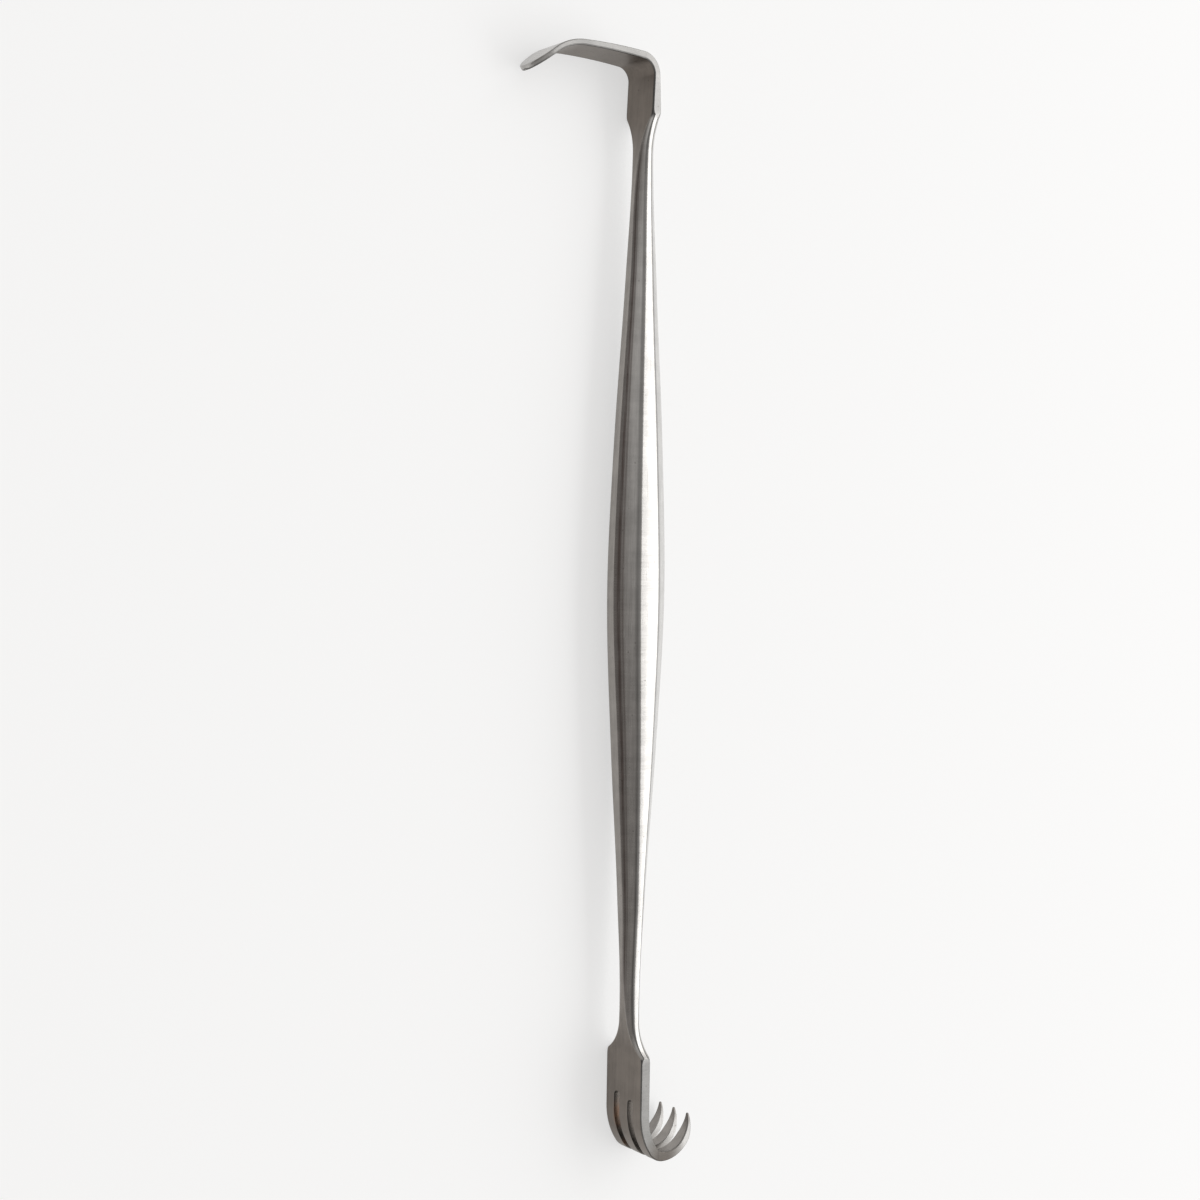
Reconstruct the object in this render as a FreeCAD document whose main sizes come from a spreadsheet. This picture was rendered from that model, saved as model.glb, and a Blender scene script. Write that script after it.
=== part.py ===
import FreeCAD, Part
import math
import os
from collections import namedtuple

import Sketcher
from FreeCAD import Placement, Rotation, Vector

# A double-ended surgical retractor, forged in one piece from stainless steel.
# It lies on its side: +Y runs along the handle to the blade end, +X to the side that the
# prongs point to, and +Z up. While it is built, Y is measured from the rake's shoulders.

os.makedirs("parts", exist_ok=True)
doc = FreeCAD.newDocument("retractor")

SIZES = [
    # handle, from the rake's shoulders to the blade's shoulders
    ("handle_length", 135.6),
    ("bevel_bulge", 0.05),
    # each station of the handle: its place, its two outer sizes and the widths of its flats;
    # the upper stations and the blade's neck are placed from the blade's shoulders
    ("rake_neck_at", 4.8),
    ("rake_neck_thickness", 2.45),
    ("rake_neck_width", 3.38),
    ("rake_neck_face", 1.5),
    ("rake_neck_side", 0.9),
    ("lower_taper_at", 23.0),
    ("lower_taper_thickness", 4.3),
    ("lower_taper_width", 4.42),
    ("lower_taper_face", 1.1),
    ("lower_taper_side", 1.12),
    ("lower_grip_at", 44.0),
    ("lower_grip_thickness", 7.05),
    ("lower_grip_width", 5.85),
    ("lower_grip_face", 1.6),
    ("lower_grip_side", 2.3),
    ("belly_at", 67.0),
    ("belly_thickness", 9.5),
    ("belly_width", 6.25),
    ("belly_face", 1.5),
    ("belly_side", 3.45),
    ("upper_grip_at", 47.6),
    ("upper_grip_thickness", 8.1),
    ("upper_grip_width", 5.15),
    ("upper_grip_face", 1.35),
    ("upper_grip_side", 2.8),
    ("upper_taper_at", 23.6),
    ("upper_taper_thickness", 4.9),
    ("upper_taper_width", 3.62),
    ("upper_taper_face", 1.2),
    ("upper_taper_side", 1.4),
    ("blade_neck_at", 5.4),
    ("blade_neck_thickness", 2.7),
    ("blade_neck_width", 2.98),
    ("blade_neck_face", 1.4),
    ("blade_neck_side", 0.75),
    ("shoulder_bevel", 0.3),
    ("shoulder_side", 0.6),
    # blunt blade: its radii are those of the middle of the metal
    ("blade_width", 6.2),
    ("blade_plate_thickness", 1.62),
    ("blade_rise", 5.5),
    ("blade_bend_thickness", 1.1),
    ("blade_bend_radius", 2.5),
    ("blade_bend_angle", 87.2),
    ("blade_flat_length", 10.4),
    ("blade_flat_thickness", 0.86),
    ("blade_arch_angle", 6.3),
    ("tip_bend_radius", 9.0),
    ("tip_bend_angle", 34.5),
    ("tip_length", 4.0),
    ("tip_thickness", 0.78),
    ("tip_round_length", 4.0),
    ("blade_edge_round", 0.2),
    # three-prong rake: its radii are those of the middle of the metal
    ("rake_width", 8.2),
    ("rake_plate_thickness", 1.66),
    ("rake_drop", 8.6),
    ("heel_radius", 9.3),
    ("heel_angle", 35.6),
    ("heel_thickness", 1.5),
    ("sole_radius", 2.7),
    ("sole_angle", 47.6),
    ("sole_thickness", 1.35),
    ("prong_radius", 4.7),
    ("prong_angle", 64.5),
    ("prong_thickness", 1.05),
    ("point_angle", 39.5),
    ("point_thickness", 0.22),
    ("point_width", 0.26),
    ("point_length", 3.9),
    ("prong_width", 1.9),
    ("upper_slot_depth", 6.65),
    ("lower_slot_depth", 6.05),
]

sheet = doc.addObject("Spreadsheet::Sheet", "sizes")
for row, (name, value) in enumerate(SIZES, start=1):
    sheet.set(f"A{row}", name)
    sheet.set(f"B{row}", str(value))
    sheet.setAlias(f"B{row}", name)
doc.recompute()


def size(name):
    return float(sheet.get(name))


body = doc.addObject("PartDesign::Body", "retractor_body")
body.Label = "double_ended_retractor"
body.AllowCompound = True


def new_sketch(name, plane):
    origin_plane = next(item for item in body.Origin.OriginFeatures if item.Role == plane)
    sketch = body.newObject("Sketcher::SketchObject", name)
    sketch.AttachmentSupport = [(origin_plane, "")]
    sketch.MapMode = "FlatFace"
    return sketch


# Bent strips: the blade and the rake are plates whose side view follows straight runs and
# arcs, and which thin towards their ends.

Run = namedtuple("Run", "length radius turn thickness")
Mark = namedtuple("Mark", "point heading thickness")
RUN_STEPS = 4


def straight(length, thickness):
    return Run(length, None, 0.0, thickness)


def bend(radius, turn, thickness):
    return Run(abs(radius * math.radians(turn)), radius, math.radians(turn), thickness)


def advance(mark, run, share):
    """The mark that lies a share of the run further on."""
    thickness = mark.thickness + (run.thickness - mark.thickness) * share
    forward = Vector(math.cos(mark.heading), math.sin(mark.heading), 0)
    if run.radius is None:
        return Mark(mark.point + forward * run.length * share, mark.heading, thickness)
    side = math.copysign(1, run.turn)
    left = Vector(-forward.y, forward.x, 0) * side * run.radius
    heading = mark.heading + run.turn * share
    outward = Vector(math.sin(heading), -math.cos(heading), 0) * side * run.radius
    return Mark(mark.point + left + outward, heading, thickness)


def flank(mark, side):
    across = Vector(-math.sin(mark.heading), math.cos(mark.heading), 0)
    return mark.point + across * side * mark.thickness / 2


def strip_outline(start, runs):
    """The closed side view of a bent strip, and the mark at its end."""
    marks = [start]
    for run in runs:
        last = marks[-1]
        marks += [advance(last, run, step / RUN_STEPS) for step in range(1, RUN_STEPS + 1)]
    flanks = []
    for side in (1, -1):
        curve = Part.BSplineCurve()
        curve.interpolate([flank(mark, side) for mark in marks])
        flanks.append(curve)
    ends = [Part.LineSegment(flank(mark, 1), flank(mark, -1)) for mark in (start, marks[-1])]
    return [*flanks, *ends], marks[-1]


def pad_strip(name, start, runs, width):
    """Pads a strip's side view to its width, and returns the mark at its end."""
    outline, final = strip_outline(start, runs)
    sketch = new_sketch(f"{name}_side_view", "XY_Plane")
    for edge in outline:
        sketch.addGeometry(edge)
    pad = body.newObject("PartDesign::Pad", f"{name}_strip")
    pad.Profile = sketch
    pad.Midplane = True
    pad.setExpression("Length", width)
    doc.recompute()
    return final


def cut_away(name, sketch, length=None, upwards=False):
    """Cuts a sketch's outline out of the body, both ways through unless a length is given."""
    area_before = body.Tip.Shape.Area
    cut = body.newObject("PartDesign::Pocket", name)
    cut.Profile = sketch
    cut.Midplane = not upwards
    cut.Reversed = upwards
    if length is None:
        cut.Type = "ThroughAll"
    else:
        cut.setExpression("Length", length)
    doc.recompute()
    if abs(cut.Shape.Area - area_before) < 1e-3:
        raise ValueError(f"{name} cuts nothing")
    return cut


MARGIN = 1.0
blade_start = Mark(Vector(0, size("handle_length"), 0), math.radians(90),
                   size("blade_plate_thickness"))
arch = math.radians(size("blade_arch_angle"))
blade_runs = [
    straight(size("blade_rise"), size("blade_bend_thickness")),
    bend(size("blade_bend_radius"), size("blade_bend_angle"), size("blade_bend_thickness")),
    bend(size("blade_flat_length") / arch, size("blade_arch_angle"), size("blade_flat_thickness")),
    bend(size("tip_bend_radius"), size("tip_bend_angle"), size("tip_thickness")),
    straight(size("tip_length") + MARGIN, size("tip_thickness")),
]
blade_end = pad_strip("blade", blade_start, blade_runs, "sizes.blade_width")

# The blade's end is rounded to half an ellipse, ground square to the bent-down tip.

def half_ellipse(centre, reach, half_width):
    """The half of an ellipse that bulges towards +X, from its lower to its upper end."""
    if reach >= half_width:
        curve = Part.Ellipse(centre + Vector(reach, 0, 0), centre + Vector(0, half_width, 0), centre)
        return Part.ArcOfEllipse(curve, -math.pi / 2, math.pi / 2)
    curve = Part.Ellipse(centre + Vector(0, half_width, 0), centre - Vector(reach, 0, 0), centre)
    return Part.ArcOfEllipse(curve, math.pi, 2 * math.pi)


tip_sketch = new_sketch("tip_outline", "XZ_Plane")
tip_sketch.AttachmentOffset = Placement(
    Vector(blade_end.point.x, 0, -blade_end.point.y),
    Rotation(Vector(0, 1, 0), math.degrees(blade_end.heading)))
half_blade = size("blade_width") / 2
round_length = size("tip_round_length")
tip_centre = Vector(-MARGIN - round_length, 0, 0)
beyond = tip_centre + Vector(round_length + 2 * MARGIN, 0, 0)
tip_sketch.addGeometry(half_ellipse(tip_centre, round_length, half_blade))
outside = [
    tip_centre + Vector(0, half_blade, 0),
    tip_centre + Vector(0, half_blade + MARGIN, 0),
    beyond + Vector(0, half_blade + MARGIN, 0),
    beyond - Vector(0, half_blade + MARGIN, 0),
    tip_centre - Vector(0, half_blade + MARGIN, 0),
    tip_centre - Vector(0, half_blade, 0),
]
for corner, following in zip(outside, outside[1:]):
    tip_sketch.addGeometry(Part.LineSegment(corner, following))
TIP_CUT_REACH = 6
cut_away("tip_round", tip_sketch, f"sizes.tip_thickness * {TIP_CUT_REACH}")

# The blade's long edges and its rounded end are eased, so that nothing on it cuts.

blade_edges = [f"Edge{number}" for number, edge in enumerate(body.Shape.Edges, start=1)
               if isinstance(edge.Curve, Part.BSplineCurve)]
eased = body.Tip
blade_rounds = body.newObject("PartDesign::Fillet", "blade_rounds")
blade_rounds.Base = (eased, blade_edges)
blade_rounds.setExpression("Radius", "sizes.blade_edge_round")
doc.recompute()

# Rake: the same kind of strip, bent through half a turn.

rake_start = Mark(Vector(0, 0, 0), math.radians(-90), size("rake_plate_thickness"))
rake_runs = [
    straight(size("rake_drop"), size("rake_plate_thickness")),
    bend(size("heel_radius"), size("heel_angle"), size("heel_thickness")),
    bend(size("sole_radius"), size("sole_angle"), size("sole_thickness")),
    bend(size("prong_radius"), size("prong_angle"), size("prong_thickness")),
    bend(size("prong_radius"), size("point_angle"), size("point_thickness")),
]
rake_end = pad_strip("rake", rake_start, rake_runs, "sizes.rake_width")

# Two round-ended slots part the rake into three prongs, right through the hook.

slot_width = (size("rake_width") - 3 * size("prong_width")) / 2
prong_pitch = size("prong_width") + slot_width
rake_bottom = -size("rake_drop") - 2 * size("heel_radius")
slot_sketch = new_sketch("slots", "YZ_Plane")
for side, depth in ((1, size("upper_slot_depth")), (-1, size("lower_slot_depth"))):
    middle = side * prong_pitch / 2
    low = middle - slot_width / 2
    high = middle + slot_width / 2
    crown = -depth - slot_width / 2
    slot_sketch.addGeometry(Part.Arc(Vector(crown, low, 0), Vector(-depth, middle, 0),
                                     Vector(crown, high, 0)))
    sides = [Vector(crown, high, 0), Vector(rake_bottom, high, 0),
             Vector(rake_bottom, low, 0), Vector(crown, low, 0)]
    for corner, following in zip(sides, sides[1:]):
        slot_sketch.addGeometry(Part.LineSegment(corner, following))
cut_away("slots_between_prongs", slot_sketch)

# Each prong narrows to a needle point over its last stretch, with slightly bowed sides.

POINT_FULLNESS = 0.62
FOOT_IN_GAP = 0.125
point_sketch = new_sketch("points", "YZ_Plane")
point_sketch.AttachmentOffset = Placement(Vector(0, 0, rake_end.point.x / 2), Rotation())
point_top = rake_end.point.y + MARGIN
point_base = rake_end.point.y - size("point_length")
point_middle = rake_end.point.y - size("point_length") / 2
half_prong = size("prong_width") / 2
half_point = size("point_width") / 2
half_foot = half_prong + slot_width * FOOT_IN_GAP
half_way = half_point + (half_foot - half_point) * POINT_FULLNESS


def prong_flank(centre, side):
    """One side of a prong's point: the foot, the fullest middle and the tip."""
    return [Vector(along, centre + side * half, 0) for along, half in
            ((point_base, half_foot), (point_middle, half_way), (rake_end.point.y, half_point))]


def outer_flank(side):
    edge = side * (size("rake_width") / 2 + MARGIN)
    return [Vector(along, edge, 0) for along in (point_base, point_middle, rake_end.point.y)]


prong_centres = (-prong_pitch, 0, prong_pitch)
gaps = [(outer_flank(-1), prong_flank(prong_centres[0], -1))]
for lower, upper in zip(prong_centres, prong_centres[1:]):
    gaps.append((prong_flank(lower, 1), prong_flank(upper, -1)))
gaps.append((prong_flank(prong_centres[2], 1), outer_flank(1)))
for lower, upper in gaps:
    for edge in (lower, upper):
        bowed = abs(edge[0].y - edge[2].y) > half_point
        run = Part.Arc(*edge) if bowed else Part.LineSegment(edge[0], edge[2])
        point_sketch.addGeometry(run)
        point_sketch.addGeometry(Part.LineSegment(edge[2], Vector(point_top, edge[2].y, 0)))
    point_sketch.addGeometry(Part.LineSegment(lower[0], upper[0]))
    point_sketch.addGeometry(Part.LineSegment(Vector(point_top, lower[2].y, 0),
                                              Vector(point_top, upper[2].y, 0)))
cut_away("needle_points", point_sketch, "sizes.rake_width * 2", upwards=True)

# Handle: eight-sided sections, with a flat face on the blade's and the prongs' side, a ground
# flat on each side edge, and a slightly crowned bevel at each corner.

Section = namedtuple("Section", "name at thickness width face side")
START, END, ORIGIN = 1, 2, -1


def station(name):
    at, *sizes = (f"sizes.{name}_{part}" for part in Section._fields[1:])
    if name.startswith(("upper", "blade")):
        at = f"(sizes.handle_length - {at})"
    return Section(name, at, *sizes)


def between(low, high, share):
    return f"({low}) + (({high}) - ({low})) * {share}"


def flare(neck, plate, shoulder_at, steps):
    """The concave flare that opens from a neck to the shoulders of its plate."""
    run = f"({shoulder_at} - {neck.at})"
    rise = f"((sizes.{plate}_width - {neck.width}) / 2)"
    radius = f"(({run} ^ 2 + {rise} ^ 2) / (2 * {rise}))"
    sections = []
    for step in range(1, steps + 1):
        share = step / steps
        opened = f"({radius} - sqrt({radius} ^ 2 - ({run} * {share}) ^ 2))"
        width = f"({neck.width} + 2 * {opened})"
        bevel = between(f"({neck.width} - {neck.face}) / 2", "sizes.shoulder_bevel", share)
        sections.append(Section(
            f"{plate}_flare_{step}",
            between(neck.at, shoulder_at, share),
            between(neck.thickness, f"sizes.{plate}_plate_thickness", share),
            width,
            f"{width} - 2 * ({bevel})",
            between(neck.side, "sizes.shoulder_side", share),
        ))
    return sections


def draw_section(section):
    sketch = new_sketch(section.name, "XZ_Plane")
    sketch.setExpression("AttachmentOffset.Base.z", f"-({section.at})")
    corners = [Vector(x, y, 0) for x, y in
               [(2, 1), (1, 2), (-1, 2), (-2, 1), (-2, -1), (-1, -2), (1, -2), (2, -1)]]
    for index, corner in enumerate(corners):
        following = corners[(index + 1) % len(corners)]
        if index % 2:
            edge = Part.LineSegment(corner, following)
        else:
            edge = Part.Arc(corner, (corner + following) * 0.52, following)
        sketch.addGeometry(edge)
    for index in range(len(corners)):
        following = (index + 1) % len(corners)
        joined = Sketcher.Constraint("Coincident", index, end_of(sketch, index, corners[following]),
                                     following, end_of(sketch, following, corners[following]))
        sketch.addConstraint(joined)
    half_face = f"({section.face}) / 2"
    half_side = f"({section.side}) / 2"
    half_thickness = f"({section.thickness}) / 2"
    half_width = f"({section.width}) / 2"
    offsets = {2: half_thickness, 1: half_side}
    heights = {2: half_width, 1: half_face}
    for index, corner in enumerate(corners):
        place_point(sketch, index, end_of(sketch, index, corner), corner, offsets, heights)
    chord = f"sqrt(({half_thickness} - {half_side}) ^ 2 + ({half_width} - {half_face}) ^ 2)"
    radius = f"{chord} * (1 / (8 * sizes.bevel_bulge) + sizes.bevel_bulge / 2)"
    for index in range(0, len(corners), 2):
        arc = sketch.Geometry[index]
        number = sketch.addConstraint(Sketcher.Constraint("Radius", index, arc.Radius))
        sketch.setExpression(f"Constraints[{number}]", radius)
    return sketch


def end_of(sketch, index, point):
    starts_there = sketch.getPoint(index, START).distanceToPoint(point) < 1e-6
    return START if starts_there else END


def place_point(sketch, index, end, corner, offsets, heights):
    for kind, reach, sizes in (("DistanceX", corner.x, offsets), ("DistanceY", corner.y, heights)):
        first = (ORIGIN, START) if reach > 0 else (index, end)
        second = (index, end) if reach > 0 else (ORIGIN, START)
        distance = Sketcher.Constraint(kind, *first, *second, abs(reach))
        number = sketch.addConstraint(distance)
        sketch.setExpression(f"Constraints[{number}]", sizes[int(abs(reach))])


FLARE_STEPS = 4
rake_neck = station("rake_neck")
blade_neck = station("blade_neck")
grip = [station(name) for name in
        ("lower_taper", "lower_grip", "belly", "upper_grip", "upper_taper")]
rake_flare = flare(rake_neck, "rake", "0", FLARE_STEPS)
blade_flare = flare(blade_neck, "blade", "sizes.handle_length", FLARE_STEPS)
stations = [*reversed(rake_flare), rake_neck, *grip, blade_neck, *blade_flare]
handle_sections = [draw_section(section) for section in stations]
doc.recompute()

handle = body.newObject("PartDesign::AdditiveLoft", "handle")
handle.Profile = handle_sections[0]
handle.Sections = handle_sections[1:]
handle.Ruled = False
doc.recompute()

# The retractor lies on its side, as it comes to rest: on the rake's edge, which is wider, and
# on the edge of the blade. Its origin is under the middle of its box.

rest_rise = (size("rake_width") - size("blade_width")) / 2
rest_span = body.Shape.BoundBox.YMax - size("blade_edge_round")
lying = Rotation(Vector(1, 0, 0), -math.degrees(math.atan2(rest_rise, rest_span)))
laid = body.Shape.copy()
laid.Placement = Placement(Vector(0, 0, 0), lying)
box = laid.optimalBoundingBox(False)
body.Placement = Placement(-Vector(box.Center.x, box.Center.y, box.ZMin), lying)
doc.recompute()

failed = [item.Name for item in doc.Objects if {"Invalid", "Error"} & set(item.State)]
if failed or body.Shape.isNull() or not body.Shape.isValid() or len(body.Shape.Solids) != 1:
    raise ValueError(f"the model did not build: {failed}")
body.Shape.exportStep(f"parts/{body.Label}.step")
print(body.Label, "volume", round(body.Shape.Volume, 1), "mm3")
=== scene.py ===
import math

import bmesh
import bpy
from mathutils import Matrix, Vector


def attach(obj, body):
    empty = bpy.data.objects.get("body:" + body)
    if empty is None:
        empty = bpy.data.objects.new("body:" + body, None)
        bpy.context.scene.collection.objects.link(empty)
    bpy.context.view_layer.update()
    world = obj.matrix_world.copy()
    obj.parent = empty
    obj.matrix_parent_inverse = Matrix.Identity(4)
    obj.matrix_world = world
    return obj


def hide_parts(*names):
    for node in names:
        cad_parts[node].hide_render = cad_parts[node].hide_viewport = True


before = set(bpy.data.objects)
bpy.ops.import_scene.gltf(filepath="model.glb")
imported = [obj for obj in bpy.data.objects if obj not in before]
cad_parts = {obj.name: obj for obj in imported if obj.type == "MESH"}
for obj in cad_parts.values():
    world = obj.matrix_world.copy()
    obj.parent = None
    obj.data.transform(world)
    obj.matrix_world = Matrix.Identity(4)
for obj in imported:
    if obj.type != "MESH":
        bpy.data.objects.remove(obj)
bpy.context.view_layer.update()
scene = bpy.context.scene
mm = 0.001
print("frame loaded:", ", ".join(sorted(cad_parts)))


# The camera looks down on the lying retractor, across the blade's side of the handle.
cameraView = {
    "place": (-155.949, 13.148, 206.139),       # mm
    "right": (0.7937057, 0.0196800, 0.6079835),
    "up": (0.0105740, 0.9988792, -0.0461372),
    "back": (-0.6082100, 0.0430481, 0.7926080),
    "lens": 53.62,
}


def addCamera(view):
    data = bpy.data.cameras.new("photoCamera")
    data.lens = view["lens"]
    data.sensor_width = 36
    data.clip_start = 0.01
    data.clip_end = 20
    camera = bpy.data.objects.new("photoCamera", data)
    turn = Matrix((view["right"], view["up"], view["back"])).transposed().to_4x4()
    camera.matrix_world = Matrix.Translation(Vector(view["place"]) * mm) @ turn
    scene.collection.objects.link(camera)
    scene.camera = camera


addCamera(cameraView)
print("camera placed")


# The steel is drawn as one bar: rings of points that follow a line from the blade's tip,
# down the handle and round the rake to the ends of its prongs. All sizes are in mm.
handleShape = {
    "length": 135.6,            # between the two pairs of shoulders
    "ringStep": 1.5,
    "flareRings": 10,
    "shoulderBevel": 0.3,
    "shoulderSide": 0.6,
    "crown": 0.05,              # how far the bevels bulge
    "belly": 0.02,              # how far the flats do, for their width
    "bellyFade": 12.0,          # length over which they get flat towards the shoulders
    "softness": 0.16,           # how far each long edge is rubbed back
    "shoulderSoftness": 0.05,
    "softening": 0.03,          # how fast the one becomes the other, for each mm
    "stations": [               # height over the rake's shoulders, thickness, width, face, side
        (4.8, 2.45, 3.38, 1.5, 0.9),
        (23.0, 4.3, 4.42, 1.1, 1.12),
        (44.0, 7.05, 5.85, 1.6, 2.3),
        (67.0, 9.5, 6.25, 1.5, 3.45),
        (88.0, 8.1, 5.15, 1.35, 2.8),
        (112.0, 4.9, 3.62, 1.2, 1.4),
        (130.2, 2.7, 2.98, 1.4, 0.75),
    ],
}
bladeShape = {
    "width": 6.2,
    "plate": 1.62,
    "edge": 0.2,                # its edges are rounded this much
    "shoulderFace": 5.7,        # flats of the section beside the shoulders
    "shoulderSide": 1.02,
    "runs": [
        {"length": 5.5, "turn": 0, "thick": 1.1},
        {"radius": 2.5, "turn": 87.2, "thick": 1.1},
        {"length": 10.4, "turn": 6.3, "thick": 0.86},
        {"radius": 9.0, "turn": 34.5, "thick": 0.78},
        {"length": 4.0, "turn": 0, "thick": 0.78},
    ],
    "roundEnd": 4.0,            # length of the half ellipse that ends it
    "roundRings": 16,
    "roundSweep": 88,           # degrees of the quarter that its rings cover
}
rakeShape = {
    "width": 8.2,
    "plate": 1.66,
    "edge": 0.16,
    "shoulderFace": 7.75,
    "shoulderSide": 1.06,
    "runs": [
        {"length": 8.6, "turn": 0, "thick": 1.66},
        {"radius": 9.3, "turn": 35.6, "thick": 1.5},
        {"radius": 2.7, "turn": 47.6, "thick": 1.35},
        {"radius": 4.7, "turn": 64.5, "thick": 1.05},
        {"radius": 4.7, "turn": 39.5, "thick": 0.22},
    ],
}
plateEdges = {
    "bulge": 0.293,             # how far a round stands out past its chord, for its radius
    "softness": 0.03,
    "shoulderStep": 0.25,       # from the shoulders to the plate's first ring
    "shoulderCrown": 0.05,
}
restingPlace = {                # where the lying retractor's own frame sits
    "tilt": -0.39781,           # degrees about X: the rake's edge is wider than the blade's
    "shift": (5.99131, -64.19484, 4.09990),
}


# How far a value has come on its way from the start, from 0 to 1.
def ramp(value, start, length):
    return min(1, max(0, (value - start) / length))


# Marks along a bent plate: point, heading in radians and thickness.
def walk(start, heading, runs, thick, turnStep=3.0, lengthStep=0.8):
    marks = [(Vector(start), heading, thick)]
    for run in runs:
        turn = math.radians(run["turn"])
        length = run.get("length", abs(run.get("radius", 0) * turn))
        steps = max(2, math.ceil(abs(run["turn"]) / turnStep), math.ceil(length / lengthStep))
        for step in range(steps):
            point, heading = marks[-1][:2]
            middle = heading + turn / steps / 2
            chord = length / steps
            if turn:
                chord *= math.sin(turn / steps / 2) / (turn / steps / 2)
            thickness = thick + (run["thick"] - thick) * (step + 1) / steps
            point = point + Vector((math.cos(middle), math.sin(middle))) * chord
            marks.append((point, heading + turn / steps, thickness))
        thick = run["thick"]
    return marks


# Each column of the table at a height, on a smooth curve through its rows.
def smoothThrough(table, at):
    row = max(1, min(len(table) - 1, next((i for i, r in enumerate(table) if r[0] >= at), 1)))
    low, high = table[row - 1], table[row]
    span = high[0] - low[0]
    share = (at - low[0]) / span

    def slope(index, column):
        before, here, after = (table[max(0, min(len(table) - 1, index + n))] for n in (-1, 0, 1))
        h1, h2 = here[0] - before[0], after[0] - here[0]
        d1 = (here[column] - before[column]) / h1 if h1 else 0
        d2 = (after[column] - here[column]) / h2 if h2 else 0
        return (h1 * d2 + h2 * d1) / (h1 + h2)

    values = []
    for column in range(1, len(low)):
        m1, m2 = slope(row - 1, column) * span, slope(row, column) * span
        s2, s3 = share * share, share ** 3
        values.append((2 * s3 - 3 * s2 + 1) * low[column] + (s3 - 2 * s2 + share) * m1
                      + (3 * s2 - 2 * s3) * high[column] + (s3 - s2) * m2)
    return values


# The hollow flare that opens from a neck to the shoulders of its plate.
def flareRows(shape, neck, shoulderAt, plate, width):
    run, rise = abs(shoulderAt - neck[0]), (width - neck[2]) / 2
    radius = (run ** 2 + rise ** 2) / (2 * rise)
    rows = []
    for step in range(1, shape["flareRings"] + 1):
        share = step / shape["flareRings"]
        wide = neck[2] + 2 * (radius - math.sqrt(radius ** 2 - (run * share) ** 2))
        bevel = (neck[2] - neck[3]) / 2 * (1 - share) + shape["shoulderBevel"] * share
        rows.append((neck[0] + (shoulderAt - neck[0]) * share,
                     neck[1] + (plate - neck[1]) * share, wide, wide - 2 * bevel,
                     neck[4] + (shape["shoulderSide"] - neck[4]) * share))
    return rows


# Along a bevel, from its broad flat to its side flat: brown streaks in a painted dark reflection,
# and painted ridge shade.
bevelReflectionAndShade = {
    "stops": (0, 0.08, 0.14, 0.21, 0.27, 0.34, 0.41, 0.6, 0.82, 0.93, 1),
    # painted dark reflection across each bevel, streaked brown
    "streakedReflection": (0.45, 0.65, 1, 0.9, 0.4, 0.7, 0.08, 0, 0, 0, 0),
    # painted shade line at each bevel's ridge
    "ridgeShade": (0, 0, 0, 0, 0, 0, 0, 0, 0.08, 0.65, 0.65),
    "flatStops": (0, 0.3, 0.5, 0.7, 1),
    "bladeRims": (0.1, 0.7),    # painted shade on the plates' rounded edges, far side and near side
    "rakeRims": (0.5, 0.65),
    "fromRake": (4, 8),         # where the painted bands start and how long they take to be full
    "fromBlade": (2.5, 4),
    "deeper": 0.5,              # how much darker the painted ridge shade is at the shoulders
    "deeperTo": 10,
}


# Points round an eight-sided section: four flats with a crowned bevel between each two.
def ringOutline(thick, wide, face, side, crown, softness, belly=0.0):
    quarter = [(thick / 2, face / 2), (side / 2, wide / 2)]
    corners = []
    for a, b in ((1, 1), (-1, 1), (-1, -1), (1, -1)):
        pair = [Vector((a * x, b * y)) for x, y in quarter]
        corners += pair if a * b > 0 else pair[::-1]
    corners = corners[-1:] + corners[:-1]
    edges = []
    for index, corner in enumerate(corners):
        following = corners[(index + 1) % 8]
        along = following - corner
        length = max(along.length, 1e-6)
        outward = Vector((along.y, -along.x)) / length
        soft = min(softness, 0.3 * length) / length
        rise = crown
        stops = bevelReflectionAndShade["stops"]
        if index % 2 == 0:
            guard = min(0.08, 0.15 * length) / length
            stops = bevelReflectionAndShade["flatStops"]
            stops = (0, guard) + stops[1:-1] + (1 - guard, 1)
            rise = belly * length
        elif index % 4 == 3:
            stops = [1 - stop for stop in reversed(stops)]
        shares = [soft + (1 - 2 * soft) * stop for stop in stops]
        edges.append([corner + along * t + outward * rise * 4 * t * (1 - t) for t in shares])
    points = []
    for index, edge in enumerate(edges):
        before = edges[index - 1][-1]
        points.append((before + corners[index] * 2 + edge[0]) / 4)
        points += edge
    return points


# A ring is its middle, its heading and its section's sizes. This one has rounded edges.
def plateRing(point, heading, thick, width, edge):
    return (point, heading, thick, width, width - 2 * edge, thick - 2 * edge,
            plateEdges["bulge"] * edge, plateEdges["softness"])


def shoulderRing(height, plate):
    return (Vector((0, height)), -math.pi / 2, plate["plate"], plate["width"],
            plate["shoulderFace"], plate["shoulderSide"], plateEdges["shoulderCrown"],
            handleShape["shoulderSoftness"])


# The rounded end: half an ellipse, thinned where its own edge is rounded.
def roundEndRings(blade, tip):
    middle, heading, thick = tip
    forward = Vector((math.cos(heading), math.sin(heading)))
    reach, half = blade["roundEnd"], blade["width"] / 2
    start = middle - forward * reach
    rings = []
    for step in range(blade["roundRings"], 0, -1):
        angle = step / blade["roundRings"] * math.radians(blade["roundSweep"])
        wide = blade["width"] * math.cos(angle)
        short = max(0, blade["edge"] - reach * (1 - math.sin(angle)))
        thin = thick - 2 * (blade["edge"] - math.sqrt(blade["edge"] ** 2 - short ** 2))
        slant = Vector((math.sin(angle) * half, math.cos(angle) * reach)).normalized()
        across = min(blade["edge"] / max(0.12, abs(slant.y)), wide * 0.35)
        edge = min(blade["edge"], 0.45 * thin)
        rings.append((start + forward * reach * math.sin(angle), heading + math.pi, thin, wide,
                      wide - 2 * across, thin - 2 * edge, plateEdges["bulge"] * edge,
                      plateEdges["softness"]))
    return rings, start, forward


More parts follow.
